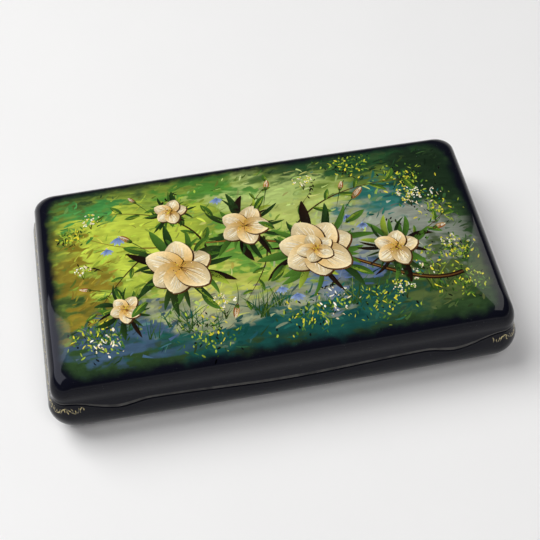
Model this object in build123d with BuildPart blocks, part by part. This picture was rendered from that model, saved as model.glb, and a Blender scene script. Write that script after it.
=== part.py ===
from build123d import *
import os
from math import cos, pi, radians, sin, tan

# A hinged lacquer box of papier-mache, front towards -Y, standing on its base plate.
# The origin is the middle of the base plate's underside.

# Overall sizes, in millimetres
box_length = 140.0
box_depth = 75.6
seam_height = 16.6
lid_height = 11.0

# Outer form: a curved foot, a soft belly, a slope up to the upright skirt, a rolled edge
# and a low crown
foot_inset = 7.6
belly_swell = 2.0
belly_round = 1.9
slope_margin = 1.2
slope_rise = 1.0
skirt_height = 2.2
roll_inset = 4.0
crown_rise = 2.8
crown_flat_depth = 22.4
side_bow = 0.5
end_bow = 0.2
foot_corner = 6.0
belly_corner = 7.0
seam_corner = 4.2
roll_corner = 6.0
crown_corner = 9.0

# The roll turns this many degrees, then the crown carries on at the same slope
roll_sweep = 81.5

# Sections that the curved parts of the form are drawn through
foot_steps = 8
belly_steps = 3
roll_steps = 10
crown_steps = 5

# Walls and boards
wall = 4.0
base_thickness = 3.2
panel_thickness = 3.8
inner_corner = 2.5
seam_gap = 0.25
seam_bevel = 0.6

# Wavy front edge of the lid: it starts this far into the corners, and the shares give
# places along half of the wave and drops below the seam
wave_reach = 0.45
wave_drop = 3.7
wave_place_shares = [1.0, 0.77, 0.6257, 0.0]
wave_drop_shares = [0.0, 1.0, 0.6, 0.97]

# Inner lip, a sleeve glued inside the box that the lid drops over
lip_thickness = 1.6
lip_rise = 2.4
lip_clearance = 0.35
lip_round = 0.6

# Hinge: a wire pin through three knuckles let into the back walls
hinge_inset = 1.2
hinge_end_margin = 14.0
side_knuckle_length = 28.0
knuckle_radius = 1.7
knuckle_gap = 0.3
knuckle_clearance = 0.25
knuckle_edge = 0.25
glue_line = 0.04
pin_radius = 0.6
pin_clearance = 0.05
plug_length = 2.0
plug_clearance = 0.03

# The back edges are bevelled so that the lid can open this far, in degrees
lid_opening = 100.0
bevel_relief = 0.35

# How far cutting tools run past what they cut
overrun = 20.0

box_height = seam_height + lid_height
slope_top = seam_height + slope_rise
slope_bottom = seam_height - wave_drop - slope_margin
belly_height = slope_bottom - belly_round
roll_height = seam_height + skirt_height
roll_turn = radians(roll_sweep)
crown_inset = (box_depth - crown_flat_depth) / 2
panel_underside = box_height - panel_thickness
hinge_y = box_depth / 2 - hinge_inset
hinge_length = box_length - 2 * hinge_end_margin
middle_knuckle_length = hinge_length - 2 * (side_knuckle_length + knuckle_gap)
side_knuckle_x = (hinge_length - side_knuckle_length) / 2
middle_seat_length = middle_knuckle_length + knuckle_gap
side_seat_length = side_knuckle_length + knuckle_gap


def outline(height, inset, corner):
    """Sketch the box's rounded and slightly bowed rectangle at one height."""
    half_length = box_length / 2 - inset
    half_depth = box_depth / 2 - inset
    corner_x = half_length - end_bow
    corner_y = half_depth - side_bow
    with BuildSketch(Plane.XY.offset(height)) as sketch:
        with BuildLine():
            ThreePointArc((-corner_x, -corner_y), (0, -half_depth), (corner_x, -corner_y))
            ThreePointArc((corner_x, -corner_y), (half_length, 0), (corner_x, corner_y))
            ThreePointArc((corner_x, corner_y), (0, half_depth), (-corner_x, corner_y))
            ThreePointArc((-corner_x, corner_y), (-half_length, 0), (-corner_x, -corner_y))
        make_face()
        fillet(sketch.vertices(), radius=corner)
    return sketch.sketch


def block_below_seam(drop):
    """Build the block under the seam: wavy through the front wall, level behind it."""
    level = seam_height - drop
    reach = box_length / 2 + overrun
    inside_front_wall = box_depth / 2 - wall - lip_thickness
    half_wave = box_length / 2 - seam_corner + wave_reach
    places = [share * half_wave for share in wave_place_shares]
    drops = [share * wave_drop for share in wave_drop_shares]
    right_half = [(x, level - z) for x, z in zip(places, drops)]
    left_half = [(-x, z) for x, z in right_half[:-1]]
    knots = left_half + right_half[::-1]
    with BuildPart() as block:
        with BuildSketch(Plane.XZ.offset(inside_front_wall)):
            with BuildLine():
                Line((-reach, level), knots[0])
                for start, end in zip(knots, knots[1:]):
                    Spline(start, end, tangents=[(1, 0), (1, 0)])
                Polyline(knots[-1], (reach, level), (reach, -overrun), (-reach, -overrun), (-reach, level))
            make_face()
        extrude(amount=box_depth / 2 + overrun - inside_front_wall)
        with BuildSketch(Plane.XZ.offset(inside_front_wall)):
            with BuildLine():
                Polyline((-reach, level), (reach, level), (reach, -overrun), (-reach, -overrun), close=True)
            make_face()
        extrude(amount=-(inside_front_wall + box_depth / 2 + overrun))
    return block.part


def outer_seam_edges(blank):
    """Pick the edges where the seam cut meets the outside, leaving those inside the walls."""
    curved = blank.edges(Select.LAST).filter_by(GeomType.LINE, reverse=True)
    outside = curved.filter_by(
        lambda edge: abs((edge @ 0.5).X) > box_length / 2 - wall
        or abs((edge @ 0.5).Y) > box_depth / 2 - wall
    )
    return outside.filter_by(lambda edge: edge.bounding_box().size.Z < edge.length / 2)


def hinge_bar(length, radius, middle_x=0, mode=Mode.ADD):
    """Add or cut a round bar along the hinge axis, in the part being built."""
    with BuildSketch(Plane.YZ.offset(middle_x - length / 2)) as disc:
        with Locations((hinge_y, seam_height)):
            Circle(radius)
    extrude(disc.sketch, amount=length, mode=mode)


def cut_back_bevel():
    """Cut the groove behind the hinge axis that lets the back edges fold together."""
    bevel_y = hinge_y - bevel_relief
    spread = overrun * tan(radians(lid_opening) / 2)
    with BuildSketch(Plane.YZ.offset(-box_length / 2)) as wedge:
        with BuildLine():
            Polyline(
                (bevel_y, seam_height),
                (bevel_y + overrun, seam_height - spread),
                (bevel_y + overrun, seam_height + spread),
                close=True,
            )
        make_face()
    extrude(wedge.sketch, amount=box_length, mode=Mode.SUBTRACT)


# Outer form of the closed box, from the foot up
foot_sections = []
for step in range(foot_steps + 1):
    turn = pi / 2 * step / foot_steps
    height = belly_height * (1 - cos(turn))
    inset = (foot_inset + belly_swell) * (1 - sin(turn)) - belly_swell
    corner = foot_corner + (belly_corner - foot_corner) * sin(turn)
    foot_sections.append(outline(height, inset, corner))

# The wavy seam and its broken edges lie within the one slope between belly and skirt
slope = belly_swell / (belly_round / 2 + slope_top - slope_bottom)
wall_sections = []
for step in range(belly_steps + 1):
    rise = belly_round * step / belly_steps
    inset = slope * rise**2 / (2 * belly_round) - belly_swell
    corner = belly_corner - (belly_corner - seam_corner) * rise / (slope_top - belly_height)
    wall_sections.append(outline(belly_height + rise, inset, corner))
wall_sections.append(outline(slope_top, 0, seam_corner))
wall_sections.append(outline(roll_height, 0, seam_corner))

crown_edge_height = box_height - crown_rise
roll_sections = []
for step in range(roll_steps + 1):
    turn = roll_turn * step / roll_steps
    height = roll_height + (crown_edge_height - roll_height) * sin(turn) / sin(roll_turn)
    corner = seam_corner + (roll_corner - seam_corner) * step / roll_steps
    roll_sections.append(outline(height, roll_inset * (1 - cos(turn)), corner))

crown_edge_inset = roll_inset * (1 - cos(roll_turn))
crown_sections = []
for step in range(crown_steps + 1):
    share = step / crown_steps
    height = box_height - crown_rise * (1 - share) ** 2
    inset = crown_edge_inset + (crown_inset - crown_edge_inset) * share
    corner = roll_corner + (crown_corner - roll_corner) * share
    crown_sections.append(outline(height, inset, corner))

with BuildPart() as outer_form:
    loft(sections=foot_sections, ruled=True)
    loft(sections=wall_sections, ruled=True)
    loft(sections=roll_sections, ruled=True)
    loft(sections=crown_sections, ruled=True)

# The form sawn in two along the seam, each half with its sawn edge broken and bevelled
with BuildPart() as lid_blank:
    add(outer_form.part)
    add(block_below_seam(0), mode=Mode.SUBTRACT)
    chamfer(outer_seam_edges(lid_blank), length=seam_bevel)
    cut_back_bevel()

with BuildPart() as box_blank:
    add(outer_form.part)
    add(block_below_seam(seam_gap), mode=Mode.INTERSECT)
    chamfer(outer_seam_edges(box_blank), length=seam_bevel)
    cut_back_bevel()

# Base plate: the bottom board, whose edge starts the curve of the foot
with BuildPart() as base_plate:
    add(box_blank.part)
    split(bisect_by=Plane.XY.offset(base_thickness), keep=Keep.BOTTOM)

# Box walls: a ring on the base plate, with seats for the side knuckles
with BuildPart() as box_walls:
    add(box_blank.part)
    split(bisect_by=Plane.XY.offset(base_thickness), keep=Keep.TOP)
    extrude(outline(base_thickness, wall, inner_corner), amount=seam_height, mode=Mode.SUBTRACT)
    for side in (-1, 1):
        hinge_bar(side_seat_length, knuckle_radius + glue_line, side * side_knuckle_x, Mode.SUBTRACT)
    hinge_bar(middle_seat_length, knuckle_radius + knuckle_clearance, mode=Mode.SUBTRACT)

# Inner lip: a sleeve that stands on the base plate and rises above the walls
with BuildPart() as inner_lip:
    lip_top = seam_height + lip_rise
    extrude(outline(base_thickness, wall, inner_corner), amount=lip_top - base_thickness)
    fillet(inner_lip.faces().sort_by(Axis.Z)[-1].edges(), radius=lip_round)
    extrude(
        outline(base_thickness, wall + lip_thickness, inner_corner - lip_thickness / 2),
        amount=lip_top,
        mode=Mode.SUBTRACT,
    )

# Lid walls: the rim with the wavy front edge, and a seat for the middle knuckle
with BuildPart() as lid_walls:
    add(lid_blank.part)
    split(bisect_by=Plane.XY.offset(panel_underside), keep=Keep.BOTTOM)
    extrude(
        outline(panel_underside, wall - lip_clearance, inner_corner + lip_clearance),
        amount=-panel_underside,
        mode=Mode.SUBTRACT,
    )
    hinge_bar(middle_seat_length, knuckle_radius + glue_line, mode=Mode.SUBTRACT)
    for side in (-1, 1):
        hinge_bar(side_seat_length, knuckle_radius + knuckle_clearance, side * side_knuckle_x, Mode.SUBTRACT)

# Lid panel: the top board with its rolled edge
with BuildPart() as lid_panel:
    add(lid_blank.part)
    split(bisect_by=Plane.XY.offset(panel_underside), keep=Keep.TOP)

# Knuckles, wire pin and the plugs that hide its ends
bore_radius = pin_radius + pin_clearance
with BuildPart() as lid_knuckle:
    hinge_bar(middle_knuckle_length, knuckle_radius)
    chamfer(lid_knuckle.edges().filter_by(GeomType.CIRCLE), length=knuckle_edge)
    hinge_bar(hinge_length, bore_radius, mode=Mode.SUBTRACT)

side_knuckles = []
plugs = []
for side in (-1, 1):
    with BuildPart() as side_knuckle:
        hinge_bar(side_knuckle_length, knuckle_radius, side * side_knuckle_x)
        chamfer(side_knuckle.edges().filter_by(GeomType.CIRCLE), length=knuckle_edge)
        hinge_bar(hinge_length + overrun, bore_radius, mode=Mode.SUBTRACT)
    side_knuckles.append(side_knuckle)
    with BuildPart() as plug:
        hinge_bar(plug_length, bore_radius - plug_clearance, side * (hinge_length - plug_length) / 2)
    plugs.append(plug)

with BuildPart() as hinge_pin:
    hinge_bar(hinge_length - 2 * plug_length, pin_radius)

pieces = {
    "base_plate": base_plate,
    "box_walls": box_walls,
    "inner_lip": inner_lip,
    "box_knuckle_left": side_knuckles[0],
    "box_knuckle_right": side_knuckles[1],
    "hinge_pin": hinge_pin,
    "pin_plug_left": plugs[0],
    "pin_plug_right": plugs[1],
    "lid_walls": lid_walls,
    "lid_panel": lid_panel,
    "lid_knuckle": lid_knuckle,
}

os.makedirs("parts", exist_ok=True)
for name, piece in pieces.items():
    piece.part.label = name
    export_step(piece.part, f"parts/{name}.step")
    print(name, round(piece.part.volume), "mm3")
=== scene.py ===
# %% [markdown]
# # A hinged lacquer box
# This lesson dresses a finished CAD model of a papier-mache box with a painted lid. The CAD
# gives every size and the hinge; here each visible surface gets a smooth skin and a finish.
# The first cell loads the CAD as a fixed frame. All lengths in Blender are metres, so one
# value turns millimetres into metres from here on.

# %% The frame
import random
from bisect import bisect
from functools import partialmethod
from math import atan2, cos, hypot, pi, radians, sin, tan

import bmesh
import bpy
from mathutils import Matrix, Vector
from mathutils.bvhtree import BVHTree


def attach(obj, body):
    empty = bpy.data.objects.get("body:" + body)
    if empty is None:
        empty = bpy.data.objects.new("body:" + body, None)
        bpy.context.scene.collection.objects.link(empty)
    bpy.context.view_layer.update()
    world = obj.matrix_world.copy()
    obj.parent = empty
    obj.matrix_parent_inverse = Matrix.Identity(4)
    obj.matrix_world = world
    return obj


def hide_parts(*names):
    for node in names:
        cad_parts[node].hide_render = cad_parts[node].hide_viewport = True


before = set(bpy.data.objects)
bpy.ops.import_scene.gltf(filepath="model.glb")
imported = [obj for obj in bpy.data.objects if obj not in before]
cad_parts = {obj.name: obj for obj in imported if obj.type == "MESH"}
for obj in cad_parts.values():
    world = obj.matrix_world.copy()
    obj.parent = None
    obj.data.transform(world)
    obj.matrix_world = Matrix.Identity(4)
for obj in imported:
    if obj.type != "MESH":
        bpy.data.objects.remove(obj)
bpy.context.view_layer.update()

mm = 0.001


def mix(start, end, share):
    return start + (end - start) * share


def ease(share):
    """A share, held between 0 and 1, that starts and ends slowly."""
    share = min(1, max(0, share))
    return share * share * (3 - 2 * share)


def in_scene(name, data):
    """A new object in the scene that shows the data."""
    made = bpy.data.objects.new(name, data)
    bpy.context.scene.collection.objects.link(made)
    return made


print("nodes from the CAD:", sorted(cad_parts))

# %% [markdown]
# ## The camera
# The photograph looks down on the box from the front left with a long lens, so the sides
# hardly converge. A camera can be aimed by an empty it tracks; here its turn is built from
# three directions instead, because the view also leans by about one degree, which a tracked
# target can't give. The focal length is first worked out in pixels of the photograph.

# %% Camera
elevation, swing, lean = radians(54.23), radians(10.01), radians(-0.93)
distance, slide_right, slide_up = 369.3 * mm, 1.05 * mm, 8.66 * mm
photo_pixels, focal_pixels = 540, 1132.4
towards_camera = Vector((-sin(swing) * cos(elevation), -cos(swing) * cos(elevation), sin(elevation)))
level_right = (-towards_camera).cross(Vector((0, 0, 1))).normalized()
level_up = level_right.cross(-towards_camera)
camera_right = level_right * cos(lean) + level_up * sin(lean)
camera_up = level_up * cos(lean) - level_right * sin(lean)

camera = in_scene("camera", bpy.data.cameras.new("camera"))
place = towards_camera * distance + camera_right * slide_right + camera_up * slide_up
turn = Matrix((camera_right, camera_up, towards_camera)).transposed().to_4x4()
camera.matrix_world = Matrix.Translation(place) @ turn
camera.data.sensor_width = 36
camera.data.lens = camera.data.sensor_width * focal_pixels / photo_pixels
camera.data.clip_start, camera.data.clip_end = 0.01, 20
bpy.context.scene.camera = camera
bpy.context.scene.view_settings.view_transform = "Standard"
print("lens", round(camera.data.lens, 1), "mm, camera at", [round(v, 3) for v in place])

# %% [markdown]
# ## Maths for materials
# A material is a graph of nodes, and its sums are easier to read as sums. The small class
# below wraps one output socket. Adding or multiplying two of them lays the Math node that
# does it, so a mask can be written as `scratches + dust * 0.3`. Every other node comes from
# one method that takes its type, its settings and what goes into its sockets.

# %% A socket that can be added and multiplied
class Flow:
    """One value on its way through a material."""

    def __init__(self, finish, socket):
        self.finish, self.socket = finish, socket

    def sum(self, operation, *others):
        return self.finish.node("Math", {"operation": operation}, [self, *others])

    __add__, __sub__ = partialmethod(sum, "ADD"), partialmethod(sum, "SUBTRACT")
    __mul__, __truediv__ = partialmethod(sum, "MULTIPLY"), partialmethod(sum, "DIVIDE")
    __pow__, __abs__ = partialmethod(sum, "POWER"), partialmethod(sum, "ABSOLUTE")
    least, most = partialmethod(sum, "MINIMUM"), partialmethod(sum, "MAXIMUM")
    root = partialmethod(sum, "SQRT")

    def fade(self, start, end):
        """0 below start, 1 above end, smooth between; start may be the larger."""
        ends = {"Value": self, "From Min": start, "From Max": end}
        return self.finish.node("MapRange", {"interpolation_type": "SMOOTHSTEP"}, ends)


# %% A finish: one material and the ways to lay its nodes
class Finish:
    """A material under construction."""

    def __init__(self, name):
        self.material = bpy.data.materials.new(name)
        self.material.use_nodes = True
        self.tree = self.material.node_tree
        self.shader = self.tree.nodes["Principled BSDF"]
        self.spot = self.node("TexCoord", output="Object")

    def feed(self, socket, value):
        if isinstance(value, Flow):
            self.tree.links.new(value.socket, socket)
        elif isinstance(value, (tuple, list)) and len(value) == 3 and socket.type == "RGBA":
            socket.default_value = (*value, 1)
        else:
            socket.default_value = value

    def node(self, kind, settings=None, inputs=(), output=0):
        """Lays a node; inputs are a list from the first socket on, or go by name or number."""
        made = self.tree.nodes.new("ShaderNode" + kind)
        for name, value in (settings or {}).items():
            setattr(made, name, value)
        for key, value in inputs.items() if isinstance(inputs, dict) else enumerate(inputs):
            self.feed(made.inputs[key], value)
        return Flow(self, made.outputs[output])

    def place(self, part):
        """The object's own X, Y or Z in metres."""
        return self.node("SeparateXYZ", {}, [self.spot], part)

    def stretched(self, scale, turn=(0, 0, 0), shift=(0, 0, 0)):
        """The object's place moved, turned and scaled, for a pattern to lie along it."""
        return self.node("Mapping", {}, [self.spot, shift, turn, scale])

    def noise(self, scale, detail=2, warp=0.0, where=None, output=0):
        inputs = {"Vector": where or self.spot, "Scale": scale, "Detail": detail, "Distortion": warp}
        return self.node("TexNoise", {}, inputs, output)

    def blend(self, factor, low, high, how="MIX"):
        """A colour between low and high by factor."""
        kind = {"data_type": "RGBA", "blend_type": how}
        return self.node("Mix", kind, {0: factor, 6: low, 7: high}, 2)

    def shaded(self, colour, tone, blue=None):
        """The colour made darker or lighter by tone, where 1 leaves it as it is."""
        grey = self.node("CombineColor", {}, [tone, tone, blue or tone])
        return self.blend(1.0, colour, grey, how="MULTIPLY")

    def bump(self, height, depth, strength=1.0, over=None):
        inputs = {"Strength": strength, "Distance": depth, "Height": height}
        if over:
            inputs["Normal"] = over
        return self.node("Bump", {}, inputs)

    def set(self, **sockets):
        """Feeds the shader's sockets, named with underscores for spaces."""
        for name, value in sockets.items():
            self.feed(self.shader.inputs[name.replace("_", " ")], value)
        return self.material


# %% [markdown]
# ## Black lacquer
# The real coats are black over papier-mache, rubbed down and polished until they mirror the
# room. A black with low roughness already looks like plastic. What tells lacquer is the
# clear layer on top, a very faint waviness left by hand rubbing, a few hair scratches and
# dust motes that break the mirror. Those four are laid here once, so that the painted lid
# can use them too. A second, greyer black is a painted highlight: it lays the thin line of
# light that the lid's rim catches as colour on that edge.

# %% Marks in a polished coat
def coat_marks(finish):
    """Roughness and bump that every polished surface of the box shares."""
    rubbing = finish.noise(190, detail=3)
    cloth = finish.noise(55, detail=2, warp=0.6)
    motes = finish.noise(2600, detail=1).fade(0.735, 0.80)
    lines = finish.noise(60, detail=1, where=finish.stretched((9, 520, 90), (0, 0, 0.5)))
    more_lines = finish.noise(60, detail=1, where=finish.stretched((640, 12, 80), (0, 0, 0.3)))
    hairs = lines.fade(0.735, 0.78).most(more_lines.fade(0.74, 0.79))
    roughness = cloth * 0.05 + 0.035 + motes * 0.18 + hairs * 0.07
    wave = finish.bump(rubbing, 0.012 * mm, 0.6)
    mote_bump = finish.bump(motes + hairs * -0.2, 0.01 * mm, 0.5, over=wave)
    return roughness, mote_bump, motes


def under_varnish(name, colour_of):
    """A polished lacquer finish over whatever colour colour_of lays."""
    finish = Finish(name)
    roughness, surface, motes = coat_marks(finish)
    dust = (0.16, 0.16, 0.17)
    finish.set(
        Base_Color=finish.blend(motes * 0.35, colour_of(finish), dust),
        Roughness=roughness, Normal=surface, Specular_IOR_Level=0.08,
        Coat_Weight=0.15, Coat_Roughness=0.03, Coat_IOR=1.5,
    )
    print(name, "has", len(finish.tree.nodes), "nodes")
    return finish.material


def black_coat(finish):
    """Lacquer black, a breath bluer in some places than in others."""
    return finish.blend(finish.noise(40), (0.0035, 0.0039, 0.0085), (0.006, 0.0065, 0.012))


def highlight_coat(finish):
    """A painted highlight along the lid's rim edge: a greyer black, in uneven lengths."""
    highlight_strength = finish.noise(160, detail=3).fade(0.30, 0.62)
    return finish.blend(highlight_strength, (0.022, 0.022, 0.024), (0.075, 0.073, 0.070))


black_lacquer = under_varnish("black_lacquer", black_coat)
# painted highlight: a greyer black that lays the rim's line of light as colour
rim_painted_highlight = under_varnish("rim_painted_highlight", highlight_coat)

# %% [markdown]
# ## Red lacquer
# Such boxes are red inside: one or two brushed coats under a thin varnish, less rubbed than
# the outside. Long soft streaks along the walls carry the brush, and the roughness follows
# the same streaks so that they also show in the shine.

# %% Red lacquer
red = Finish("red_lacquer")
streaks = red.noise(70, detail=4, where=red.stretched((3, 3, 26)))
cloud = red.noise(45, detail=3, warp=0.8)
red_colour = red.blend(cloud.fade(0.3, 0.7), (0.30, 0.012, 0.008), (0.40, 0.022, 0.012))
red_colour = red.blend(streaks.fade(0.45, 0.75) * 0.4, red_colour, (0.20, 0.007, 0.006))
red_lacquer = red.set(
    Base_Color=red_colour,
    Roughness=streaks * 0.16 + 0.16,
    Normal=red.bump(streaks, 0.02 * mm, 0.5),
    Coat_Weight=0.5, Coat_Roughness=0.08,
)

# %% [markdown]
# ## The painted ground
# The lid carries a painting under the clear coats: flowers over a mottled ground that melts
# into black towards the edges. The ground is soft, so nodes suit it better than strokes. It
# is planned as a painter would: wide patches of colour first, each with a place and a size.
# Then the patches are broken up into dabs. A cell pattern cuts the lid into long spots, and
# each spot takes its colour from a little to one side, which is what a brush does when it
# drags wet paint along. Last come bristle streaks and the black border with a ragged edge.

# %% Ground of the painting
picture_x, picture_y, picture_middle = 66.5 * mm, 35.3 * mm, -0.6 * mm
picture_corner, picture_fade = 8 * mm, 3.6 * mm

# middle x, y, half width, half depth in millimetres, then the colour and how well it covers;
# the edge says how far past its size a patch has faded out, as the square of a share
patch_edge = 1.15
patches = [
    (-18, 6, 66, 34, (0.256, 0.354, 0.043), 1.0), (-40, 10, 22, 17, (0.464, 0.549, 0.061), 0.95),
    (4, 20, 26, 13, (0.366, 0.464, 0.146), 0.95), (-22, -7, 22, 10, (0.525, 0.537, 0.110), 0.9),
    (16, 6, 22, 12, (0.403, 0.464, 0.122), 0.85), (-60, -2, 8, 20, (0.253, 0.165, 0.017), 0.8),
    (-16, 25, 13, 7, (0.043, 0.195, 0.027), 0.85), (-52, 24, 13, 7, (0.037, 0.232, 0.055), 0.85),
    (-6, 2, 12, 7, (0.073, 0.244, 0.037), 0.8), (38, -2, 23, 15, (0.281, 0.305, 0.256), 0.9),
    (20, -14, 17, 8, (0.066, 0.110, 0.275), 0.85), (42, 12, 15, 8, (0.013, 0.132, 0.121), 0.9),
    (-12, -19, 36, 8, (0.317, 0.329, 0.220), 0.8), (-48, -25, 20, 9, (0.050, 0.094, 0.165), 0.9),
    (0, -29, 46, 9, (0.008, 0.083, 0.077), 0.9), (52, -22, 18, 12, (0.077, 0.110, 0.033), 0.85),
    (58, 22, 22, 16, (0.011, 0.024, 0.011), 0.95), (28, 30, 26, 7, (0.017, 0.066, 0.022), 0.9),
]


def channel(finish, colour, part):
    """One channel of a random colour, moved down to lie around 0."""
    return finish.node("SeparateColor", {}, [colour], part) - 0.5


def dabs(finish, scale, turn, shift):
    """Two random values for each long brush dab, a little blurred into its neighbours."""
    laid = finish.stretched((1.0, 2.3, 1.0), turn=(0, 0, turn), shift=(shift, 0, 0))
    ragged = [finish.noise(scale * 0.9, detail=4, output=1), (0.006, 0.006, 0.0), laid]
    pushed = finish.node("VectorMath", {"operation": "MULTIPLY_ADD"}, ragged)
    inputs = {"Vector": pushed, "Scale": scale, "Smoothness": 0.55}
    cells = finish.node("TexVoronoi", {"feature": "SMOOTH_F1"}, inputs, "Color")
    return [channel(finish, cells, part) for part in (0, 1)]


def drift(finish, shift):
    """A random value that changes slowly across the lid."""
    where = finish.stretched((1, 1, 1), shift=(shift, 2, 0))
    return channel(finish, finish.noise(38, detail=5, output=1, where=where), 0)


def border_distance(finish, x, y):
    """How far a place lies outside the picture's border, below 0 inside it."""
    over_x = abs(x) - (picture_x - picture_corner)
    over_y = abs(y - picture_middle) - (picture_y - picture_corner)
    outside = (over_x.most(0) ** 2 + over_y.most(0) ** 2).root()
    return outside + over_x.most(over_y).least(0) - picture_corner


def painted_ground(finish):
    """The patches broken into dabs, with bristle streaks and a ragged black border."""
    x, y = finish.place("X"), finish.place("Y")
    wide, small = dabs(finish, 150, 0.6, 0), dabs(finish, 380, -0.45, 2)
    drift_x, drift_y = drift(finish, 0), drift(finish, 3)
    wander_x = x + drift_x * 30 * mm + wide[0] * 15 * mm + small[0] * 8 * mm
    wander_y = y + drift_y * 22 * mm + wide[1] * 11 * mm + small[1] * 6 * mm

    colour = finish.blend(drift_x + 0.5, (0.018, 0.045, 0.016), (0.050, 0.100, 0.030))
    for middle_x, middle_y, reach_x, reach_y, paint, cover in patches:
        across = (wander_x - middle_x * mm) / (reach_x * mm)
        along = (wander_y - middle_y * mm) / (reach_y * mm)
        covered = (across ** 2 + along ** 2).fade(patch_edge, patch_edge - 1) * cover
        colour = finish.blend(covered, colour, paint)

    bristles = finish.noise(150, detail=4, where=finish.stretched((1.6, 9, 4), turn=(0, 0, 0.5)))
    tone = bristles * 0.5 + wide[1] * 0.35 + small[0] * 0.30 + 0.75
    colour = finish.shaded(colour, tone, tone * 0.96 + 0.03)

    border = border_distance(finish, x, y)
    dusk, dusk_start, dusk_end, raggedness = (0.008, 0.020, 0.014), -9 * mm, 2 * mm, 4.0 * mm
    colour = finish.blend(border.fade(dusk_start, dusk_end) * 0.5, colour, dusk)
    ragged = border + (finish.noise(240, detail=4) - 0.5) * raggedness
    return finish.blend(ragged.fade(0.0, -picture_fade), black_coat(finish), colour)


painted_lid = under_varnish("painted_lid", painted_ground)

# %% [markdown]
# ## The outline at any height
# Seen from above the box is a rectangle with round corners and sides that bow out by half a
# millimetre or less. Every height of it is the same ring, drawn in or let out. Each point of
# the ring is kept as four shares: how far it sits along and across the rectangle between the
# corner centres, and the direction in which the corner radius pushes it out. The same point
# can then be placed for any inset and any corner.

# %% Sizes from the CAD and the stations of a ring
half_length, half_depth = 70.0 * mm, 37.8 * mm
side_bow, end_bow = 0.5 * mm, 0.2 * mm
seam, seam_gap, top = 16.6 * mm, 0.25 * mm, 27.50 * mm
belly_height, slope_top, roll_height = 9.8 * mm, 17.6 * mm, 18.8 * mm
slope_bottom, belly_round = 11.7 * mm, 1.9 * mm
foot_inset, belly_swell, roll_inset = 7.6 * mm, 1.98 * mm, 4.0 * mm
crown_rise, crown_inset, roll_sweep = 2.70 * mm, 26.6 * mm, radians(81.5)
corners = {"foot": 6 * mm, "belly": 7 * mm, "seam": 4.2 * mm, "roll": 6 * mm, "crown": 9 * mm}

front_points, end_points, corner_points = 132, 44, 12
stations = []
for corner, (sx, sy) in enumerate(((-1, -1), (1, -1), (1, 1), (-1, 1))):
    facing = radians(180 + 90 * corner)
    for step in range(corner_points + 1):
        angle = facing + radians(90) * step / corner_points
        stations.append((sx, sy, cos(angle), sin(angle)))
    points = front_points if corner % 2 == 0 else end_points
    for step in range(1, points):
        share = 2 * step / points - 1
        side = ((share, -1), (1, share), (-share, 1), (-1, -share))[corner]
        stations.append((*side, cos(facing + radians(90)), sin(facing + radians(90))))


def ring_point(station, inset, corner):
    """Where a station of the outline lies, in metres, for an inset and a corner radius."""
    along, across, push_x, push_y = station
    length, depth = half_length - inset, half_depth - inset
    x = along * (length - corner) + push_x * corner
    y = across * (depth - corner) + push_y * corner
    return (
        x * (1 - end_bow * (y / depth) ** 2 / length),
        y * (1 - side_bow * (x / length) ** 2 / depth),
    )


print("points in one ring:", len(stations))

# %% [markdown]
# ## The profile
# From the table up, the wall curves out from the foot to the belly, draws in a little to an
# upright skirt, rolls over and ends in a crown that is nearly flat. One function gives the
# inset and the corner radius for a height, so that the two halves of the box can't differ
# where they meet. Another gives the height of the seam, which hangs down in three lobes at
# the front and is bevelled at the back to let the lid fold open.

# %% Inset by height and height of the seam
smoothing = 0.3 * mm


def slope_at(height):
    """Inset above the belly: a short round, then a straight slope up to the skirt."""
    slope = belly_swell / (belly_round / 2 + slope_top - slope_bottom)
    rise = min(max(height, belly_height), slope_top) - belly_height
    if rise < belly_round:
        return slope * rise ** 2 / (2 * belly_round) - belly_swell
    return slope * (rise - belly_round / 2) - belly_swell


def wall_at(height):
    """Inset and corner radius of the outer wall between the foot and the skirt's top."""
    if height < belly_height:
        outward = (1 - (1 - height / belly_height) ** 2) ** 0.5
        inset = (foot_inset + belly_swell) * (1 - outward) - belly_swell
        return inset, mix(corners["foot"], corners["belly"], outward)
    share = min(1, (height - belly_height) / (slope_top - belly_height))
    near = [height + step * smoothing for step in range(-3, 4)]
    inset = sum(slope_at(other) for other in near) / len(near)
    return inset, mix(corners["belly"], corners["seam"], share)


# x and drop in millimetres, from the outer end of the front edge to its middle
lobes = [(66.25, 0), (51.0, 3.7), (41.45, 2.22), (0, 3.589)]


def lobe_drop(x):
    """How far the lid's front edge hangs below the seam at x, in metres."""
    x = abs(x) / mm
    for (outer, shallow), (inner, deep) in zip(lobes, lobes[1:]):
        if inner <= x < outer:
            return mix(shallow, deep, ease((outer - x) / (outer - inner))) * mm
    return 0.0


lobed_depth = 5.6 * mm
bevel_start, bevel_slope = half_depth - 1.55 * mm, tan(radians(50))


def seam_at(x, y, part):
    """Height of the sawn edge at a point: part is 1 for the lid and -1 for the box."""
    height = seam if part > 0 else seam - seam_gap
    if y < -half_depth + lobed_depth:
        height -= lobe_drop(x)
    return height + part * max(0.0, y - bevel_start) * bevel_slope


# %% [markdown]
# ## Shells by extruding rings
# The two halves could be carved out of a block with booleans, as the CAD does, but then the
# polish would show every facet. Here each half starts as a circle of points that is pulled
# onto the outline, and its open edge is extruded from ring to ring: up the outside, over
# the rim and down the inside. The faces come out as an even grid that shades like glass.

# %% Extruding one ring after another
crease = radians(35)


def put(ring, place):
    """Moves each point of a ring where place says."""
    for vert, station in zip(ring, stations):
        vert.co = place(station)
    return ring


def start_ring(place):
    """A bmesh with one closed ring of edges."""
    shell = bmesh.new()
    circle = bmesh.ops.create_circle(shell, segments=len(stations), radius=1)
    return shell, put(circle["verts"], place)


def ring_edges(shell, ring):
    return [shell.edges.get((a, b)) for a, b in zip(ring, ring[1:] + ring[:1])]


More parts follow.
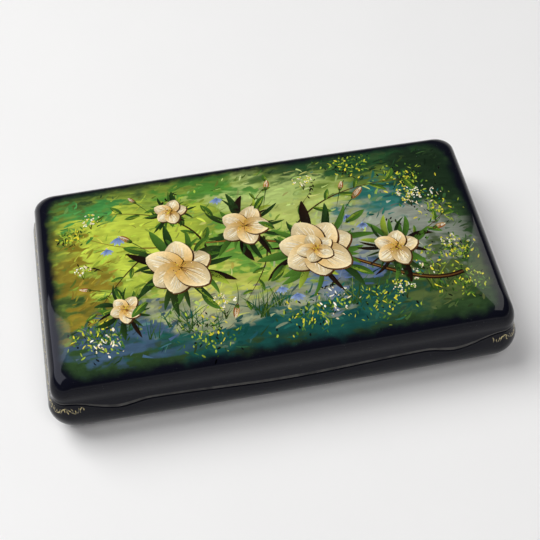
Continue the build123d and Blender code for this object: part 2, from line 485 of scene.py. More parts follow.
def next_ring(shell, ring, place, material=0):
    """Extrudes the open ring and moves the new one where place says."""
    made = bmesh.ops.extrude_edge_only(shell, edges=ring_edges(shell, ring))["geom"]
    old, partner = set(ring), {}
    for face in (part for part in made if isinstance(part, bmesh.types.BMFace)):
        face.material_index = material
        for edge in face.edges:
            shared = [vert for vert in edge.verts if vert in old]
            if len(shared) == 1:
                partner[shared[0]] = edge.other_vert(shared[0])
    return put([partner[vert] for vert in ring], place)


def grow(shell, ring, places, material=0):
    """Extrudes the open ring once for each place."""
    for place in places:
        ring = next_ring(shell, ring, place, material)
    return ring


def close_ring(shell, ring, material=0):
    """Caps the open ring with one flat face."""
    face = bmesh.ops.contextual_create(shell, geom=ring)["faces"][0]
    face.material_index = material


def to_piece(shell, name, materials):
    """Turns a bmesh into an object with smooth faces and sharp creases."""
    bmesh.ops.remove_doubles(shell, verts=shell.verts, dist=0.0005 * mm)
    bmesh.ops.recalc_face_normals(shell, faces=shell.faces)
    mesh = bpy.data.meshes.new(name)
    shell.to_mesh(mesh)
    shell.free()
    for material in materials:
        mesh.materials.append(material)
    mesh.shade_smooth()
    mesh.set_sharp_from_angle(angle=crease)
    print(name, "has", len(mesh.polygons), "faces")
    return in_scene(name, mesh)


# %% [markdown]
# ## Rims
# A sawn edge that was lacquered and rubbed is never sharp. The rim of each half is a small
# quarter round, and because the seam rises and falls, each point of the rim is set from the
# seam's own height at that point. The box is tucked in a little under the lid's rim, so the
# lid's edge catches a thin line of light and hides the gap. The same code serves both
# halves with the sign turned.

# %% Points of a rim and of a wall
rim_rounds, rim_tucks = {1: 0.35 * mm, -1: 0.5 * mm}, {1: 0, -1: 0.2 * mm}


def wall_point(share, part, far_height):
    """A place on the outer wall: share 0 at the rim's end, 1 at far_height."""
    def place(station):
        x, y = ring_point(station, *wall_at(seam))
        start = seam_at(x, y, part) + part * rim_rounds[part]
        height = mix(start, far_height, share)
        inset, corner = wall_at(height)
        return (*ring_point(station, inset + rim_tucks[part] * (1 - share) ** 3, corner), height)
    return place


def rim_point(turn, part):
    """A place on the rim's quarter round: turn 0 at the wall, 90 degrees at the sawn face."""
    def place(station):
        x, y = ring_point(station, *wall_at(seam))
        sawn, rim_round = seam_at(x, y, part), rim_rounds[part]
        height = sawn + part * rim_round * (1 - sin(turn))
        inset, corner = wall_at(sawn + part * rim_round)
        drawn_in = rim_round * (1 - cos(turn))
        return (*ring_point(station, inset + rim_tucks[part] + drawn_in, corner - drawn_in), height)
    return place


def sawn_point(inset, corner, part):
    """A place on the sawn face, at an inset from the outline."""
    def place(station):
        x, y = ring_point(station, inset, corner)
        return (x, y, seam_at(x, y, part))
    return place


def level_point(inset, corner, height):
    """A place on a level ring."""
    return lambda station: (*ring_point(station, inset, corner), height)


def levels(inset, corner, *heights):
    """Level rings one above another."""
    return [level_point(inset, corner, height) for height in heights]


def shares(count):
    """Even steps up to 1."""
    return [step / count for step in range(1, count + 1)]


quarter = [radians(90) * share for share in shares(5)]


def rounded(inset, height, corner, across, down, turns=quarter):
    """Level rings on a quarter circle that starts near inset and ends at height."""
    return [
        level_point(inset + across * (1 - cos(turn)), corner, height - down * (1 - sin(turn)))
        for turn in turns
    ]


# %% [markdown]
# ## The lid
# The lid is one lacquered shell on the real box, although it is glued up from a rim and a
# top board, so one piece stands for both. It is extruded from the skirt's top down to the
# wavy rim, across the sawn face and up the inside, then once more from the skirt's top over
# the roll to the crown. The rings on either side of the rim's edge get the greyer black, a
# painted highlight for the line of light that the rim catches.

# %% Lid shell
lid_inner, lid_inner_corner, ceiling, ceiling_round = 3.65 * mm, 2.85 * mm, 23.8 * mm, 1.2 * mm
lid_middle, cap_inset, cap_corner = 20 * mm, 12 * mm, 6 * mm
roll_rise, edge_inset = top - crown_rise - roll_height, roll_inset * (1 - cos(roll_sweep))
inside, rim_highlight = 1, 2


def roll_point(share):
    """A level ring on the rolled edge: share 0 at the skirt, 1 at the crown."""
    turn = roll_sweep * share
    height = roll_height + roll_rise * sin(turn) / sin(roll_sweep)
    return level_point(roll_inset * (1 - cos(turn)), mix(corners["seam"], corners["roll"], share), height)


def crown_point(share):
    """A level ring on the crown: share 0 at the roll, 1 at the flat middle."""
    height = top - crown_rise * (1 - share) ** 2
    inset = mix(edge_inset, crown_inset, share)
    return level_point(inset, mix(corners["roll"], corners["crown"], share), height)


lid, first = start_ring(level_point(0, corners["seam"], roll_height))
wall = [wall_point((1 - share) ** 1.3, 1, roll_height) for share in shares(8)]
rim = [rim_point(turn, 1) for turn in quarter]
# inset and corner radius of the rings across the sawn face
sawn = [(1.55 * mm, 3.6 * mm), (2.6 * mm, 3.2 * mm), (lid_inner, lid_inner_corner)]
ring = grow(lid, first, wall[:6])
# the rings at the rim's edge take the greyer black, a painted highlight for the rim's line of light
ring = grow(lid, ring, wall[6:] + rim[:3], rim_highlight)
ring = grow(lid, ring, rim[3:] + [sawn_point(*place, 1) for place in sawn])
ring = grow(lid, ring, [
    *levels(lid_inner, lid_inner_corner, lid_middle, ceiling - ceiling_round),
    *rounded(lid_inner, ceiling, lid_inner_corner, ceiling_round, ceiling_round),
    level_point(cap_inset, cap_corner, ceiling),
], inside)
close_ring(lid, ring, inside)

ring = grow(lid, first, [roll_point(share) for share in shares(16)])
ring = grow(lid, ring, [crown_point(share) for share in shares(30)])
close_ring(lid, ring)
lid_shell = to_piece(lid, "lid_shell", [painted_lid, red_lacquer, rim_painted_highlight])

# %% [markdown]
# ## The box
# The lower half is made the same way, with a floor: the outside from the rim down over the
# belly to the foot and the underside, then the inside from the rim down to the bottom.

# %% Box shell
box_inner, box_inner_corner, box_middle, floor_height = 4.0 * mm, 2.5 * mm, 4 * mm, 3.2 * mm
foot_round, foot_ledge, under_inset, under_corner = 0.35 * mm, 0.25 * mm, 20 * mm, 8 * mm
foot_edge, foot_corner = wall_at(foot_round)


def belly_point(share):
    """A level ring on the belly: share 0 at its widest, 1 at the foot."""
    height = max(belly_height * (1 - cos(radians(90) * (1 - share))), foot_round)
    return level_point(*wall_at(height), height)


box, first = start_ring(wall_point(0, -1, belly_height))
ring = grow(box, first, [wall_point(share, -1, belly_height) for share in shares(10)])
ring = grow(box, ring, [belly_point(share) for share in shares(14)])
foot_turns = [radians(90) * share for share in shares(3)]
foot = rounded(foot_edge + foot_ledge, 0, foot_corner, foot_round, -foot_round, foot_turns)
ring = grow(box, ring, foot)
ring = next_ring(box, ring, level_point(under_inset, under_corner, 0))
close_ring(box, ring)

sawn = [(1.55 * mm, 3.5 * mm), (2.8 * mm, 3.0 * mm), (box_inner, box_inner_corner)]
ring = grow(box, first, [rim_point(turn, -1) for turn in quarter])
ring = grow(box, ring, [sawn_point(*place, -1) for place in sawn])
ring = grow(box, ring, levels(box_inner, box_inner_corner, box_middle, floor_height), inside)
ring = next_ring(box, ring, level_point(cap_inset, cap_corner, floor_height), inside)
close_ring(box, ring, inside)
box_shell = to_piece(box, "box_shell", [black_lacquer, red_lacquer])

# %% [markdown]
# ## Seats for the hinge
# The hinge is three papier-mache knuckles let into the back walls. Each half needs round
# seats for the knuckles it carries and slightly wider ones for those it only passes. A
# Boolean modifier with plain bars as cutters is right for this: the seats are few, and the
# shells are closed. The modifier's result is taken as the new mesh, so nothing stays live.

# %% Cutting the seats
hinge_y, hinge_z = 36.6 * mm, 16.6 * mm


def bar_along_hinge(name, middle, length, radius):
    """A round bar lying along the hinge, to cut a seat with."""
    bar = bmesh.new()
    turned = Matrix.Translation((middle, hinge_y, hinge_z)) @ Matrix.Rotation(radians(90), 4, "Y")
    bmesh.ops.create_cone(
        bar, cap_ends=True, segments=48, radius1=radius, radius2=radius, depth=length, matrix=turned,
    )
    return to_piece(bar, name, [black_lacquer])


def cut_seats(piece, fits):
    """Cuts a seat for each (middle x, length, radius)."""
    bars = [bar_along_hinge(f"{piece.name}_bar{i}", *fit) for i, fit in enumerate(fits)]
    for bar in bars:
        cut = piece.modifiers.new("seat", "BOOLEAN")
        cut.operation, cut.solver, cut.object = "DIFFERENCE", "EXACT", bar
    view = bpy.context.evaluated_depsgraph_get()
    mesh = bpy.data.meshes.new_from_object(piece.evaluated_get(view))
    piece.modifiers.clear()
    piece.data = mesh
    mesh.name = piece.name
    mesh.set_sharp_from_angle(angle=crease)
    for bar in bars:
        bpy.data.objects.remove(bar)
    print(piece.name, "cut,", len(mesh.polygons), "faces")


middle_seat, side_seats = (0, 55.7 * mm), [(-42 * mm, 28.3 * mm), (42 * mm, 28.3 * mm)]
tight, loose = 1.74 * mm, 1.95 * mm
cut_seats(lid_shell, [(*middle_seat, tight)] + [(*seat, loose) for seat in side_seats])
cut_seats(box_shell, [(*middle_seat, loose)] + [(*seat, tight) for seat in side_seats])

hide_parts("lid_walls", "lid_panel")
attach(lid_shell, "lid")
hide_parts("box_walls", "base_plate")
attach(box_shell, "box")

# %% [markdown]
# ## A brush
# The crisp part of the painting is strokes: stems, leaves, petals and dots. Painted into a
# texture they would blur when seen close, so each stroke is a thin ribbon of mesh that lies
# on the lid. A stroke starts as a small grid from bmesh; its columns follow a bezier line
# and its width swells and thins along the way. Later strokes lie a hair above earlier ones,
# as paint does. Every point carries its colour, and colours sink into black at the border.
# A brush keeps its strokes in sheets, which it joins into one piece at the end.

# %% Brush strokes as ribbons
dice = random.Random(11)
between, pick = dice.uniform, dice.choice
lid_surface = BVHTree.FromObject(lid_shell, bpy.context.evaluated_depsgraph_get())
paints = {
    "bark": (0.018, 0.008, 0.004), "umber": (0.090, 0.038, 0.012), "rust": (0.260, 0.085, 0.018),
    "ochre": (0.480, 0.260, 0.040), "cream": (0.780, 0.660, 0.400), "white": (0.880, 0.850, 0.700),
    "yellow": (0.680, 0.600, 0.040), "lime": (0.330, 0.430, 0.040), "leaf": (0.070, 0.170, 0.020),
    "moss": (0.022, 0.060, 0.012), "teal": (0.010, 0.120, 0.110), "blue": (0.080, 0.140, 0.380),
    "sky": (0.300, 0.400, 0.560), "black": (0.006, 0.007, 0.005),
}


def on_lid(x, y, lift):
    """The point of the lid's top at x, y in millimetres, lifted off it."""
    hit = lid_surface.ray_cast(Vector((x * mm, y * mm, 2 * top)), Vector((0, 0, -1)))[0]
    return (x * mm, y * mm, (hit.z if hit else roll_height) + lift)


def border_fade(x, y):
    """1 inside the picture, 0 at its border."""
    over_x = abs(x) - (picture_x - picture_corner) / mm
    over_y = abs(y - picture_middle / mm) - (picture_y - picture_corner) / mm
    outside = hypot(max(over_x, 0), max(over_y, 0)) + min(max(over_x, over_y), 0)
    return ease((picture_corner / mm - outside) / (picture_fade / mm))


def bezier(points, share):
    """A point on the bezier line through control points, by repeated mixing."""
    while len(points) > 1:
        points = [(mix(a[0], b[0], share), mix(a[1], b[1], share)) for a, b in zip(points, points[1:])]
    return points[0]


swells = {
    "leaf": lambda share: sin(pi * share) ** 0.75,
    "petal": lambda share: sin(pi * min(1, share * 0.86 + 0.14)) ** 0.6,
    "taper": lambda share: (1 - share) ** 0.8 + 0.04,
    "line": lambda share: 0.35 + 0.65 * sin(pi * share) ** 0.5,
    "dab": lambda share: max(0.0, 1 - (2 * share - 1) ** 2) ** 0.5,
}

# lengths in millimetres; then strokes in one sheet, a short way along a stroke as a share
# of it, and how much darker a wide stroke is on one side
column_length, row_width, first_height, usual_rise = 0.6, 0.8, 0.006, 0.000006
sheet_strokes, nearby, side_shade = 150, 0.02, 0.22


class Brush:
    """Collects strokes in one mesh, placed on a surface by a function of two lengths."""

    def __init__(self, place, fade):
        self.place, self.fade, self.count, self.height = place, fade, 0, first_height
        self.sheets = []
        self.fresh_sheet()

    def fresh_sheet(self):
        """Starts an empty bmesh, because one with many strokes in it is slow to add to."""
        self.strokes = bmesh.new()
        self.tint = self.strokes.verts.layers.float_color.new("paint")

    def set_aside(self):
        """Keeps the strokes so far as a mesh."""
        sheet = bpy.data.meshes.new("sheet")
        self.strokes.to_mesh(sheet)
        self.strokes.free()
        self.sheets.append(sheet)

    def stroke(self, points, width, root, tip, swell="leaf", columns=5, rows=1, rise=usual_rise):
        """A ribbon along points, in millimetres; root and tip are colours or names of paints."""
        if self.count % sheet_strokes == sheet_strokes - 1:
            self.set_aside()
            self.fresh_sheet()
        length = sum(hypot(b[0] - a[0], b[1] - a[1]) for a, b in zip(points, points[1:]))
        columns, rows = max(columns, round(length / column_length)), max(rows, round(width / row_width))
        grid = bmesh.ops.create_grid(self.strokes, x_segments=columns, y_segments=rows, size=1)["verts"]
        self.count += 1
        self.height += rise
        root, tip = paints.get(root, root), paints.get(tip, tip)
        shade = between(0.85, 1.15)
        for vert in grid:
            share, side = (vert.co.x + 1) / 2, vert.co.y
            x, y = bezier(points, share)
            before, after = bezier(points, max(0, share - nearby)), bezier(points, min(1, share + nearby))
            run_x, run_y = after[0] - before[0], after[1] - before[1]
            run = hypot(run_x, run_y) or 1
            aside = side * width / 2 * swells[swell](share)
            x, y = x - run_y / run * aside, y + run_x / run * aside
            vert.co = self.place(x, y, self.height * mm)
            tone = shade * (1 - side_shade * side * (rows > 1)) * self.fade(x, y)
            vert[self.tint] = (*(mix(a, b, share) * tone for a, b in zip(root, tip)), 1)

    def finish(self, name, material):
        """Joins the sheets into one piece."""
        self.set_aside()
        joined = bmesh.new()
        for sheet in self.sheets:
            joined.from_mesh(sheet)
            bpy.data.meshes.remove(sheet)
        mesh = bpy.data.meshes.new(name)
        joined.to_mesh(mesh)
        joined.free()
        mesh.materials.append(material)
        mesh.shade_smooth()
        print(name, "has", self.count, "strokes and", len(mesh.polygons), "faces")
        return in_scene(name, mesh)


# %% Paint of the strokes
def stroke_colour(finish):
    """The colour each stroke carries, with the grain of a loaded brush."""
    laid = finish.node("Attribute", {"attribute_name": "paint"}, output="Color")
    return finish.shaded(laid, finish.noise(1500, detail=3) * 0.5 + 0.75)


stroke_paint = under_varnish("stroke_paint", stroke_colour)

# %% [markdown]
# ## Flowers, leaves and grass
# The picture is a made-up spray in the manner of folk lacquer: one branch that sways across
# the lid, open cream flowers with brown veins, buds, loose heads of tiny yellow and white
# florets, blue bells, leaves, small bushes and tufts of grass. Each is a small function of
# strokes, so that every flower comes out a little different. Dark strokes go down first and
# light ones last, which is also the order in which such lids are painted.

# %% Strokes that every plant uses
brush = Brush(on_lid, border_fade)
paint = brush.stroke


def beyond(x, y, angle, away):
    """The point that lies away from x, y in the direction angle."""
    return x + cos(angle) * away, y + sin(angle) * away


def spot(x, y, size, colour):
    """A dot, painted as one short dab."""
    turn = between(0, pi)
    ends = [beyond(x, y, turn, -size / 2), beyond(x, y, turn, size / 2)]
    paint(ends, size * between(0.6, 0.95), colour, colour, "dab")


def ahead(x, y, angle, length, bend=0.0):
    """Three control points of a stroke from x, y that sets out at angle and bends."""
    half = beyond(x, y, angle, length / 2)
    return [(x, y), half, beyond(*half, angle + bend, length / 2)]


def leaf(x, y, angle, length):
    """A dark leaf with four lit veins on one side and a rib."""
    bend = between(-0.5, 0.5)
    width = length * between(0.26, 0.36)
    paint(ahead(x, y, angle, length, bend), width, "moss", "leaf", "leaf", 9, 2)
    side = pick((-1, 1))
    for row in range(4):
        start = beyond(x, y, angle + pi / 2, side * width * (0.08 + 0.09 * row))
        vein = ahead(*start, angle, length * (0.88 - 0.1 * row), bend)
        paint(vein, 0.16 + 0.05 * row, "leaf", "lime", "leaf", 6)
    paint(ahead(x, y, angle, length * 0.95, bend), 0.16, "bark", "moss", "taper", 7)


def twig(points, width, leaves=0, length=4.0):
    """A tapering stem with leaves on both sides."""
    paint(points, width, "bark", "umber", "taper", 16)
    for number in range(leaves):
        share = (number + 0.6) / leaves
        (x, y), (far_x, far_y) = bezier(points, share), bezier(points, min(1, share + 0.03))
        side = 0.75 if number % 2 else -0.75
        angle = atan2(far_y - y, far_x - x) + side + between(-0.2, 0.2)
        leaf(x, y, angle, length * between(0.8, 1.2))


def around(spread, how=0.5):
    """A random angle and a distance within spread."""
    return between(0, 2 * pi), spread * dice.random() ** how


# %% Flowers
# heights in millimetres: petals overlap, so each lies clear of the last
flower_height, petal_rise, streak_rise = 0.034, 0.001, 0.0008


def petal(x, y, angle, length, width):
    """A cream petal over its own shadow, with light streaks and brown veins."""
    bend = between(-0.25, 0.25)
    shadow = ahead(x + 0.25, y - 0.35, angle, length * 1.02, bend)
    paint(shadow, width * 1.07, "bark", "umber", "petal", 10, rise=petal_rise)
    path = ahead(x, y, angle, length, bend)
    paint(path, width, "ochre", "cream", "petal", 10, rise=petal_rise)
    brush.height += streak_rise
    for row in range(15):
        away = (row - 7) / 7 + between(-0.1, 0.1)
        tilt = angle + away * 0.40
        reach = length * (0.97 - 0.20 * abs(away)) * between(0.88, 1.0)
        begin = length * between(0.18, 0.45)
        streak = ahead(*beyond(x, y, tilt, begin), tilt, reach - begin, bend - away * 0.4)
        paint(streak, between(0.16, 0.34), pick(("cream", "cream", "ochre")),
              pick(("white", "cream", "white")), "leaf", 6)
    for row in range(7):
        tilt = angle + (row - 3) * 0.14 + between(-0.06, 0.06)
        vein = ahead(x, y, tilt, length * between(0.3, 0.75), bend)
        paint(vein, between(0.10, 0.22), pick(("bark", "umber")), pick(("rust", "ochre")), "taper", 5)


def blossom(x, y, size, petals, turn, height=flower_height):
    """An open flower with a stippled eye."""
    brush.height = height
    for number in range(petals):
        angle = turn + 2 * pi * number / petals + between(-0.12, 0.12)
        petal(x, y, angle, size / 2 * between(0.9, 1.08), size * 0.42)
    for _ in range(26):
        place = beyond(x, y, *around(size * 0.13, 0.6))
        spot(*place, between(0.25, 0.5), pick(("umber", "ochre", "yellow", "rust")))
    for _ in range(12):
        place = beyond(x, y, between(0, 2 * pi), size * between(0.15, 0.2))
        spot(*place, 0.28, pick(("yellow", "white")))


def florets(x, y, spread, count):
    """A loose head of tiny florets on hair stems."""
    for _ in range(count // 4):
        angle, away = around(spread)
        middle = (x + cos(angle) * away * 0.4, y - spread * 0.4)
        stem = [(x, y - spread * 1.3), middle, beyond(x, y, angle, away)]
        paint(stem, 0.16, "bark", "leaf", "taper", 6)
    for _ in range(count):
        angle, away = around(spread)
        at_x, at_y = x + cos(angle) * away, y + sin(angle) * away * 0.75
        for _ in range(3):
            spot(at_x + between(-0.4, 0.4), at_y + between(-0.4, 0.4),
                 between(0.35, 0.7), pick(("yellow", "white", "lime", "cream")))


def bell(x, y, size):
    """A small blue flower seen from the side."""
    for number in range(5):
        side = number - 2
        lobe = ahead(x, y, -pi / 2 + side * 0.38, size * between(0.85, 1.0), side * 0.25)
        paint(lobe, size * 0.3, "blue", "sky", "leaf", 7)
    for _ in range(4):
        spot(x + between(-0.3, 0.3), y + between(-0.2, 0.4), 0.4, "sky")


def bud(x, y, angle, size):
    """A closed flower on its stem: a few overlapping petals in a dark cup."""
    stem = ahead(x, y, angle + pi, size * 1.6, between(-0.5, 0.5))
    paint(stem, 0.3, "moss", "bark", "taper", 8)
    for turn, tint in ((-0.28, "rust"), (0.28, "ochre"), (0.0, "cream"), (0.1, "white")):
        paint(ahead(x, y, angle + turn, size, -turn * 1.6), size * 0.2, "rust", tint, "leaf", 8)
    for turn in (-0.5, 0.0, 0.5):
        cup = ahead(x, y, angle + turn, size * 0.42, -turn)
        paint(cup, size * 0.11, "bark", "leaf", "leaf", 6)


# %% Grass, bushes and dark leaves
def grass(x, y, height, blades, colours=("leaf", "lime", "moss", "bark")):
    """A tuft of blades that bend back towards upright."""
    for _ in range(blades):
        angle = pi / 2 + dice.gauss(0, 0.42)
        blade = ahead(x + between(-1.6, 1.6), y, angle, height * between(0.5, 1.1),
                      (pi / 2 - angle) * -0.9)
        paint(blade, between(0.22, 0.5), "moss", pick(colours), "taper", 8)


def seeds(points, count):
    """A hair twig with a row of dark seeds."""
    paint(points, 0.14, "bark", "black", "taper", 12)
    for number in range(count):
        x, y = bezier(points, 0.3 + 0.7 * number / count)
        seed = ahead(x, y, between(0, 2 * pi), between(0.9, 1.5))
        paint(seed, between(0.35, 0.6), "black", "bark")


leaf_tones = (("bark", "moss"), ("black", "bark"), ("moss", "leaf"), ("black", "moss"),
              ("black", "moss"), ("moss", "leaf"), ("moss", "lime"))


def undergrowth(x, y, spread, count=26):
    """Dark leaves fanned out behind a flower."""
    for number in range(count):
        angle = 2 * pi * number / count + between(-0.35, 0.35)
        root, tip = pick(leaf_tones)
        length = spread * between(0.4, 0.85)
        path = ahead(*beyond(x, y, angle, spread * 0.25), angle, length, between(-0.9, 0.9))
        paint(path, length * between(0.10, 0.24), root, tip, "leaf", 9, 2)


bush_tones = ("black", "moss", "leaf", "leaf", "leaf", "lime", "lime", "yellow")


def foliage(x, y, spread, count=120, tones=bush_tones):
    """A loose bush of small touches, dark ones first and light ones last."""
    for number in range(count):
        tone = 0
        if number > 6:
            tone = min(len(tones) - 1, int(len(tones) * (number + between(-6, 6)) / count))
        at_x, at_y = x + dice.gauss(0, spread * 0.5), y + dice.gauss(0, spread * 0.36)
        path = ahead(at_x, at_y, between(0.2, 2.9), between(0.5, 1.8), between(-0.6, 0.6))
        paint(path, between(0.2, 0.65), tones[tone], tones[tone], pick(("leaf", "dab")))


def ground_at(x, y):
    """The colour planned for the ground at x, y in millimetres."""
    colour = (0.03, 0.07, 0.02)
    for middle_x, middle_y, reach_x, reach_y, paint, cover in patches:
        far = ((x - middle_x) / reach_x) ** 2 + ((y - middle_y) / reach_y) ** 2
        share = ease(patch_edge - far) * cover
        colour = tuple(mix(a, b, share) for a, b in zip(colour, paint))
    return colour


def ground_dab():
    """A short stroke anywhere, in about the ground's own colour."""
    x, y = between(-62, 62), between(-33, 31)
    near = ground_at(x + dice.gauss(0, 7), y + dice.gauss(0, 5))
    light = between(0.55, 1.5)
    root = tuple(min(0.8, part * light * between(0.9, 1.1)) for part in near)
    tip = tuple(part * between(0.8, 1.1) for part in root)
    path = ahead(x, y, dice.gauss(0.5, 0.5), between(1.2, 4.5), between(-0.8, 0.8))
    paint(path, between(0.25, 1.0), root, tip, pick(("dab", "taper", "leaf")), 6)


# %% The picture, from the ground up
for _ in range(900):
    ground_dab()
for _ in range(26):
    grass(between(-56, 56), between(-27, -21), between(4, 9), 5, ("teal", "leaf", "moss"))
for x in (-52, -30, -4, 24, 49):
    grass(x + between(-3, 3), -25, between(8, 13), 9)
for bush in ((49, 19, 9), (56, 4, 8), (48, -14, 10), (56, -24, 8), (33, 28, 8), (30, -26, 9),
             (58, -12, 6), (-54, -22, 8), (-58, 15, 5), (8, -27, 9), (-22, -27, 9)):
    foliage(*bush)
for bush in ((52, 10, 6), (42, -18, 6), (-50, -26, 5), (18, -24, 6)):
    foliage(*bush, 70, ("moss", "teal", "leaf", "lime", "cream", "white"))

branch = [(57, -20), (30, -30), (6, 30), (-24, -10), (-54, 14)]
twig(branch, 1.5)
paint(branch, 0.4, "umber", "ochre", "taper", 24, rise=0.002)
for points, *size in (
    ([(8, 2), (16, 16), (34, 20), (50, 18)], 0.7, 9, 5.5),
    ([(-18, 3), (-20, 14), (-34, 22), (-50, 22)], 0.7, 8, 5.0),
    ([(30, -13), (40, -6), (52, -4), (58, 4)], 0.6, 7, 4.6),
    ([(-36, 4), (-44, -2), (-50, -10), (-54, -16)], 0.5, 7, 4.2),
    ([(-8, 4), (-6, 14), (2, 20), (6, 27)], 0.5, 6, 4.0),
    ([(0, 4), (2, -6), (-6, -14), (-10, -20)], 0.5, 6, 4.0),
):
    twig(points, *size)
for start, end in (((34, 20), (26, 28)), ((-34, 20), (-24, 28)), ((46, -5), (38, 4)),
                   ((14, 14), (20, 24)), ((-50, 0), (-58, 4)), ((20, -16), (10, -20))):
    seeds([start, (mix(start[0], end[0], 0.5) + 2, mix(start[1], end[1], 0.5)), end], 9)
for head in ((48, 12, 4.2, 34), (56, -8, 3.0, 20), (-52, 21, 3.0, 20), (16, 24, 3.2, 22),
             (-16, -18, 4.0, 30), (38, -22, 3.4, 24), (-56, 2, 2.6, 16)):
    florets(*head)
for place in ((27, 7), (31, 3), (-44, 12), (-48, 8), (2, -16), (6, -19), (-12, 22)):
    bell(*place, between(2.6, 3.6))
for fan in ((-27, -3, 17), (-5, 9, 14), (15, -4, 19), (-45, -15, 10), (39, -8, 13), (-27, 19, 9)):
    undergrowth(*fan)
for closed in ((-40, 9, 2.4, 5), (4, 22, 1.3, 5), (30, 13, 0.8, 6), (27, 17, 1.2, 4.5),
               (-12, -19, 4.4, 5), (52, -3, 0.3, 5), (-54, -6, 2.8, 4), (-37, 25, 2.2, 4)):
    bud(*closed)
for flower in ((-27, -3, 21, 6, 0.4), (-5, 9, 16, 5, 1.1), (-45, -15, 10, 5, 0.8),
               (39, -8, 14, 5, 0.1), (-27, 19, 11, 5, 0.0), (15, -4, 23, 7, 0.2)):
    blossom(*flower)
blossom(15, -4, 12, 5, 0.6, brush.height)
for x, y, angle in ((-38, -14, 3.6), (-22, -14, 5.2), (4, -8, 4.2), (24, -12, 5.6), (26, 4, 0.5),
                    (4, 6, 2.3), (-36, 4, 2.6), (-22, 2, 0.9), (-14, 15, 2.2), (-1, 15, 0.9)):
    leaf(x, y, angle, between(6, 8.5))
flowers = brush.finish("lid_flowers", stroke_paint)
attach(flowers, "lid")

# %% [markdown]
# ## The gold scrolls
# Under the seam runs a thin ornament in gold, an old pattern for such boxes: S-shaped curls
# one after another, each with two small leaves. It is drawn with the same brush, only the
# place of a point is now found on the box's wall: so many millimetres round the outline and
# so many above the table. Where the lid hangs lower the box has no wall, so those strokes are
# left out. The gold is thin and rubbed, which a noise shows by letting the black through.

# %% Gold scrolls on the box
gold = Finish("gold_scroll")
worn = gold.noise(1100, detail=3).fade(0.36, 0.60)
gold_scroll = gold.set(
    Base_Color=gold.blend(worn, (0.030, 0.026, 0.016), (0.600, 0.510, 0.260)),
    Metallic=worn * 0.75, Roughness=gold.noise(600) * 0.2 + 0.32,
    Coat_Weight=0.25, Coat_Roughness=0.05,
)
box_surface = BVHTree.FromObject(box_shell, bpy.context.evaluated_depsgraph_get())
band_line, outside = 15 * mm, 3 * mm
outline = [Vector(ring_point(station, *wall_at(band_line))) for station in stations]
runs = [0.0]
for here, there in zip(outline, outline[1:] + outline[:1]):
    runs.append(runs[-1] + (there - here).length / mm)


def at_outline(run):
    """The point of the outline and the outward direction, run millimetres round it."""
    run %= runs[-1]
    number = bisect(runs, run) - 1
    here, there = outline[number], outline[(number + 1) % len(outline)]
    step = (there - here).normalized()
    return here + step * (run - runs[number]) * mm, Vector((step.y, -step.x))


def on_wall(run, height, lift):
    """The point of the box's wall at a run and a height in millimetres, lifted off it."""
    middle, out = at_outline(run)
    start = Vector((*(middle + out * outside), height * mm))
    hit = box_surface.ray_cast(start, Vector((-out.x, -out.y, 0)), 2 * outside)[0] or start
    return hit + Vector((*out, 0)) * lift


def wall_ends(run):
    """The height in millimetres at which the box's wall ends under the lid."""
    middle = at_outline(run)[0]
    return (seam_at(middle.x, middle.y, -1) - rim_rounds[-1]) / mm


# in millimetres: the band's top, its depth, how often the curls come again and how far
# they stay below the wall's end; a curl's own height is the unit of its second numbers
band_top, band_deep, band_repeat, band_clear, curl_height = 15.35, 2.4, 5.5, 0.1, 1.2
scrolls = Brush(on_wall, lambda run, height: 1.0)
scroll = [
    [(0.0, 0.1), (1.2, 1.9), (2.5, 1.1), (3.0, 0.1), (4.4, -0.9), (5.4, 0.9)],
    [(0.0, 0.1), (0.2, 1.2), (1.4, 1.1), (1.2, 0.4)], [(5.4, 0.9), (5.2, -0.2), (4.1, -0.1), (4.3, 0.6)],
    [(2.0, 1.0), (1.7, 0.4), (2.3, 0.1)], [(3.4, 0.1), (3.7, 0.6), (3.1, 1.0)],
]
repeats = round(runs[-1] / band_repeat)
for number in range(repeats):
    start = number * runs[-1] / repeats
    for points in scroll:
        drawn = [(start + u, band_top - band_deep * (1 - v / curl_height)) for u, v in points]
        laid = [bezier(drawn, step / 6) for step in range(7)]
        if all(height < wall_ends(run) - band_clear for run, height in laid):
            scrolls.stroke(drawn, between(0.26, 0.36), (1, 1, 1), (1, 1, 1), "line", 9)
gold_scrolls = scrolls.finish("gold_scrolls", gold_scroll)
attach(gold_scrolls, "box")

# %% [markdown]
# ## The inner lip
# A thin sleeve glued inside the box guides the lid. It rises over the wall with a rounded
# top. The same rings make it, from its outer foot over the top to its inner foot.

# %% Inner lip
lip_outer, lip_thickness, lip_top, lip_round = 4.02 * mm, 1.55 * mm, 19.0 * mm, 0.6 * mm
lip_inner, lip_inner_corner = lip_outer + lip_thickness, box_inner_corner - 0.8 * mm
lip_foot, lip_middle = 3.25 * mm, 12 * mm
lip, lip_start = start_ring(level_point(lip_outer, box_inner_corner, lip_foot))
ring = grow(lip, lip_start, [
    *levels(lip_outer, box_inner_corner, lip_middle, lip_top - lip_round),
    *rounded(lip_outer, lip_top, box_inner_corner, lip_round, lip_round),
    *rounded(lip_inner, lip_top, lip_inner_corner, -lip_round, lip_round, [*reversed(quarter), 0]),
    *levels(lip_inner, lip_inner_corner, lip_middle, lip_foot),
])
bmesh.ops.bridge_loops(lip, edges=ring_edges(lip, lip_start) + ring_edges(lip, ring))
lip_sleeve = to_piece(lip, "lip_sleeve", [red_lacquer])
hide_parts("inner_lip")
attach(lip_sleeve, "box")

# %% [markdown]
# ## Hinge parts
# The knuckles, their plugs and the pin are small and their CAD shapes are right, so those
# nodes stay and only get finishes: black lacquer for the papier-mache, drawn brass for the
# wire, with fine lines along it and a little tarnish.

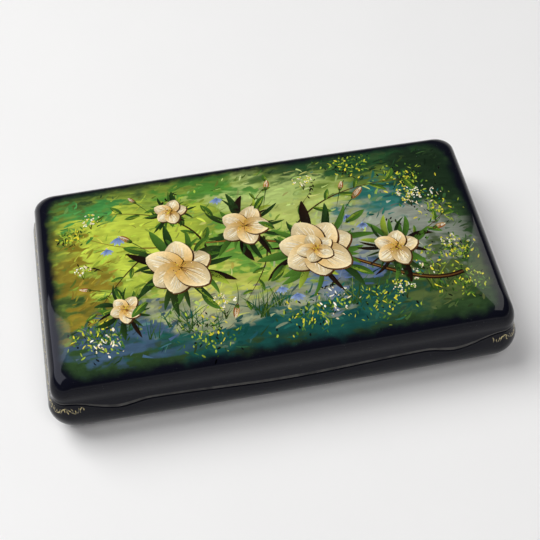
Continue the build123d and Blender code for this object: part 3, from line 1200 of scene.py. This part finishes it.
# %% Finishes of the hinge
brass = Finish("brass_wire")
drawn = brass.noise(300, detail=3, where=brass.stretched((0.4, 9, 9)))
tarnish = brass.noise(240, detail=4, warp=1.0).fade(0.45, 0.75)
brass_wire = brass.set(
    Base_Color=brass.blend(tarnish, (0.62, 0.42, 0.16), (0.26, 0.15, 0.06)),
    Metallic=1.0,
    Roughness=drawn * 0.2 + tarnish * 0.2 + 0.18,
    Normal=brass.bump(drawn, 0.01 * mm, 0.4),
)
finishes = {"hinge_pin": brass_wire, "inner_lip": red_lacquer}
for name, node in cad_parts.items():
    for slot in node.material_slots:
        slot.material = finishes.get(name, black_lacquer)

# %% [markdown]
# ## Floor and light
# The box stands on a plain pale table. A wide floor reaches the horizon in every view. A
# polished black surface shows its surroundings more than itself, so light and mirror are
# kept apart. Two soft lamps give the plain light and the shadows, and the coats don't mirror
# them. Mirrored, the room is pale near the table and dim overhead, which keeps the top
# deep. The grey sheen along two edges of the lid comes from two pale cards close beside the
# box, which light nothing and are only mirrored.

# %% Floor
table = Finish("pale_table")
table_colour = table.set(
    Base_Color=table.blend(table.noise(30, detail=4), (0.85, 0.846, 0.84), (0.875, 0.872, 0.865)),
    Roughness=table.noise(200, detail=2) * 0.1 + 0.55,
    Specular_IOR_Level=0.2,
)
ground = bmesh.new()
bmesh.ops.create_grid(ground, x_segments=8, y_segments=8, size=6)
floor = to_piece(ground, "table_top", [table_colour])

# %% Room
class Room(Finish):
    """The world, laid with the same sums as a finish."""

    def __init__(self, name):
        self.material = bpy.data.worlds.new(name)
        self.material.use_nodes = True
        self.tree = self.material.node_tree
        self.shader = self.tree.nodes["Background"]
        self.spot = self.node("TexCoord", output="Generated")

    def seen_by(self, kind):
        """1 for rays of one kind, such as those from the camera."""
        return self.node("LightPath", output=f"Is {kind} Ray")


room = Room("room")
upward = room.place("Z")
dim = room.blend(upward.fade(-0.1, 0.9), (0.055, 0.055, 0.062), (0.045, 0.045, 0.055))
backdrop = (0.86, 0.86, 0.86)
mirrored = room.seen_by("Glossy").most(room.seen_by("Transmission")) * upward.fade(0.26, 0.10)
pale = room.seen_by("Camera").most(mirrored)
bpy.context.scene.world = room.set(Color=room.blend(pale, dim, backdrop))


# %% Lamps and cards
def area_light(name, middle, wide, high, power, colour):
    """A rectangle that sends out light, not yet turned."""
    data = bpy.data.lights.new(name, "AREA")
    data.shape, data.size, data.size_y = "RECTANGLE", wide, high
    data.energy, data.color = power, colour
    made = in_scene(name, data)
    made.location = middle
    return made


def lamp(name, middle, size, power, colour):
    """A soft lamp that faces the box, kept out of the mirror of the coats."""
    made = area_light(name, middle, size, size, power, colour)
    aim = Vector((0, 0, 10 * mm))
    made.rotation_euler = (aim - Vector(middle)).to_track_quat("-Z", "Y").to_euler()
    made.visible_glossy = False


def card(name, middle, wide, high, lean, glow, colour):
    """A pale card beside the box, seen only in the mirror of the coats."""
    made = area_light(name, middle, wide, high, glow * wide * high * pi, colour)
    facing = Vector((-middle[0], 0, 0)).to_track_quat("-Z", "Z").to_matrix()
    made.rotation_euler = (Matrix.Rotation(lean, 3, "X") @ facing).to_euler()
    made.visible_diffuse = made.visible_camera = False


lamp("key_back_left", (-0.62, 0.43, 1.12), 0.92, 17.0, (1.0, 1.0, 0.995))
lamp("fill_front", (0.15, -0.75, 1.40), 0.90, 9.4, (1.0, 0.99, 0.98))
card("left_card", (-0.150, 0.024, 0.145), 0.180, 0.130, radians(-22), 3.2, (0.93, 0.95, 1.10))
card("right_card", (0.150, 0.007, 0.150), 0.102, 0.144, 0.0, 3.3, (1.0, 1.0, 0.96))
